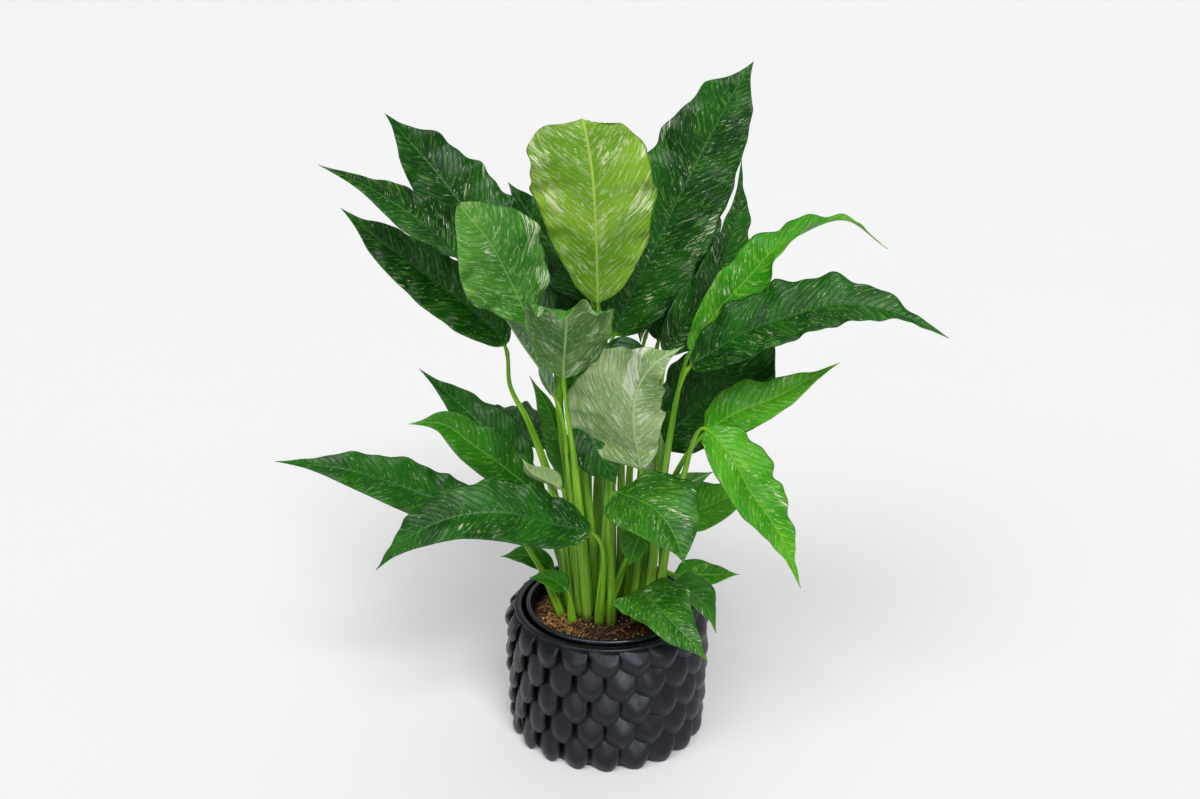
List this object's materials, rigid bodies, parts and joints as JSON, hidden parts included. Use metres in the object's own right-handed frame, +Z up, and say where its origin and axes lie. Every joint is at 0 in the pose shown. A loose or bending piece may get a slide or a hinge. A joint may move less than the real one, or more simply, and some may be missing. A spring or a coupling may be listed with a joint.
{
  "type": "potted peace lily",
  "caption": "Variegated peace lily with long pointed leaves on upright stalks, in a nursery pot set inside a black scalloped planter.",
  "frame": {"origin": "centre of the planter's flat foot, on the surface it stands on", "axes": "+Z up along the planter's axis; -Y is the front of the plant, the side the picture shows; +X is its right"},
  "size_m": [0.5669, 0.3442, 0.6097],
  "materials": {
    "satin_black_printed_resin": "satin",
    "gloss_black_moulded_plastic": "gloss",
    "peat_and_coir_soil": "matte",
    "dark_green_leaf": "satin",
    "bright_green_leaf": "satin",
    "pale_underside_leaf": "satin",
    "dried_brown_stalk": "matte"
  },
  "bodies": {
    "root": {"planter": "satin_black_printed_resin", "nursery_pot": "gloss_black_moulded_plastic", "potting_soil": "peat_and_coir_soil", "leaf_tall_right": "dark_green_leaf", "leaf_centre_bright": "bright_green_leaf", "leaf_upper_left": "dark_green_leaf", "leaf_left_long_high": "dark_green_leaf", "leaf_left_long_low": "dark_green_leaf", "leaf_left_front_light": "dark_green_leaf", "leaf_mid_left_underside": "pale_underside_leaf", "leaf_mid_left_behind": "dark_green_leaf", "leaf_centre_dark": "dark_green_leaf", "leaf_front_pale": "pale_underside_leaf", "leaf_back_left_small": "dark_green_leaf", "leaf_back_centre": "dark_green_leaf", "leaf_back_right_droop": "dark_green_leaf", "leaf_right_behind": "dark_green_leaf", "leaf_right_narrow": "dark_green_leaf", "leaf_right_twisted": "bright_green_leaf", "leaf_right_arching": "dark_green_leaf", "leaf_right_shaded": "dark_green_leaf", "leaf_right_bright_up": "bright_green_leaf", "leaf_right_bright_down": "bright_green_leaf", "leaf_right_small_tip": "pale_underside_leaf", "leaf_front_heart": "dark_green_leaf", "leaf_front_heart_under": "dark_green_leaf", "leaf_right_low": "bright_green_leaf", "leaf_centre_shaded": "dark_green_leaf", "leaf_left_narrow": "dark_green_leaf", "leaf_left_young_pale": "pale_underside_leaf", "leaf_left_pair_high": "dark_green_leaf", "leaf_left_pair_low": "dark_green_leaf", "leaf_left_far": "dark_green_leaf", "leaf_front_left_droop": "dark_green_leaf", "leaf_rim_left_back": "dark_green_leaf", "leaf_rim_left_front": "dark_green_leaf", "leaf_rim_front": "dark_green_leaf", "leaf_rim_right": "dark_green_leaf", "leaf_rim_right_light": "bright_green_leaf", "leaf_stem_side_pale": "pale_underside_leaf", "leaf_rear_left": "dark_green_leaf", "leaf_rear_tall": "dark_green_leaf", "leaf_rear_right": "dark_green_leaf", "leaf_rear_low": "dark_green_leaf", "leaf_rear_low_left": "dark_green_leaf", "leaf_rear_low_right": "dark_green_leaf", "dry_stalk": "dried_brown_stalk"}
  },
  "joints": []
}
